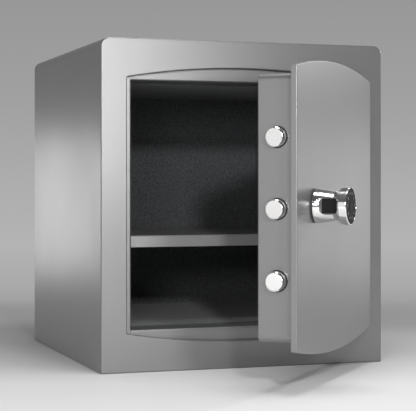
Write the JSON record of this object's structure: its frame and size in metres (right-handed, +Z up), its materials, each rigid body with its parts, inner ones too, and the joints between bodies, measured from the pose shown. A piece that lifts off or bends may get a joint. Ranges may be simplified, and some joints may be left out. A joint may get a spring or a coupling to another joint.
{
  "type": "safe",
  "caption": "Free-standing fire safe with an arched flush door on concealed hinges, sliding round bolts, a round keypad knob, felt-lined interior and a lift-out shelf.",
  "frame": {"origin": "on the floor, at the centre of the base and of its anchor holes", "axes": "+X across the front towards the hinges, +Y from the front face to the back, +Z up"},
  "size_m": [0.412, 0.7002, 0.45],
  "materials": {
    "silver_paint": "satin silver powder coat",
    "dark_paint": "matt charcoal paint",
    "shelf_paint": "satin grey paint",
    "fire_fill": "rough cast filling",
    "felt": "charcoal needle felt",
    "zinc_steel": "bright zinc plate",
    "hinge_steel": "dark phosphated steel",
    "bronze": "plain bronze",
    "lock_metal": "dull yellow metal",
    "bolt_chrome": "polished chrome",
    "knob_chrome": "polished chrome",
    "seal_rubber": "matt black",
    "black_plastic": "matt black",
    "keypad_black": "semi-gloss black",
    "board_green": "circuit board"
  },
  "bodies": {
    "cabinet": {"outer_shell": "silver_paint", "back_panel": "silver_paint", "front_fascia": "silver_paint", "rebate_frame": "silver_paint", "strike_jamb": "silver_paint", "inner_liner": "dark_paint", "fire_fill": "fire_fill", "felt_back": "felt", "felt_sides": "felt", "felt_floor": "felt", "felt_ceiling": "felt", "shelf_pegs": "zinc_steel", "strike_sockets": "zinc_steel", "anchor_sleeves": "zinc_steel", "upper_hinge_bracket": "hinge_steel", "lower_hinge_bracket": "hinge_steel", "upper_hinge_pin": "zinc_steel", "lower_hinge_pin": "zinc_steel", "hinge_washers": "bronze"},
    "shelf": {"shelf": "shelf_paint"},
    "door": {"door_plate": "silver_paint", "door_casing": "silver_paint", "door_back_cover": "silver_paint", "cover_screws": "zinc_steel", "door_insulation": "fire_fill", "hard_plate": "hinge_steel", "door_seal": "seal_rubber", "upper_hinge_arm": "hinge_steel", "lower_hinge_arm": "hinge_steel", "arm_screws": "zinc_steel", "dog_bolts": "bolt_chrome", "bolt_bushes": "black_plastic", "bolt_guides": "zinc_steel", "lock_case": "lock_metal", "lock_screws": "zinc_steel", "spindle_bush": "bronze", "knob_rose": "black_plastic", "lock_cable": "black_plastic"},
    "boltwork": {"upper_bolt": "bolt_chrome", "middle_bolt": "bolt_chrome", "lower_bolt": "bolt_chrome", "bolt_bar": "zinc_steel", "drive_lug": "zinc_steel", "lock_tail": "zinc_steel", "bolt_screws": "zinc_steel"},
    "lock_bolt": {"lock_bolt": "bronze"},
    "knob": {"knob_neck": "knob_chrome", "knob_drum": "knob_chrome", "keypad_face": "keypad_black", "knob_badge": "keypad_black", "keypad_board": "board_green", "coin_cells": "zinc_steel", "spindle": "zinc_steel", "crank_disc": "zinc_steel", "crank_pin": "zinc_steel", "crank_circlip": "zinc_steel"}
  },
  "joints": [
    {"name": "door_swing", "type": "hinge", "parent": "cabinet", "child": "door", "pos_m": [0.19, -0.206, 0.225], "axis": [0, 0, 1], "range_deg": [-49.6, 45.4]},
    {"name": "knob_turn", "type": "hinge", "parent": "door", "child": "knob", "pos_m": [0.01182, -0.42925, 0.227], "axis": [0.7615, -0.6481, 0], "range_deg": [0, 90]},
    {"name": "bolt_slide", "type": "slide", "parent": "door", "child": "boltwork", "axis": [-0.6481, -0.7615, 0], "range_m": [0, 0.02]},
    {"name": "lock_bolt_slide", "type": "slide", "parent": "door", "child": "lock_bolt", "axis": [0, 0, 1], "range_m": [0, 0.006]},
    {"name": "shelf_lift", "type": "slide", "parent": "cabinet", "child": "shelf", "axis": [0, 0, 1], "range_m": [0, 0.012]}
  ],
  "couplings": [
    {"joint": "knob_turn", "follows": "bolt_slide", "rad_per_m": 78.54}
  ]
}
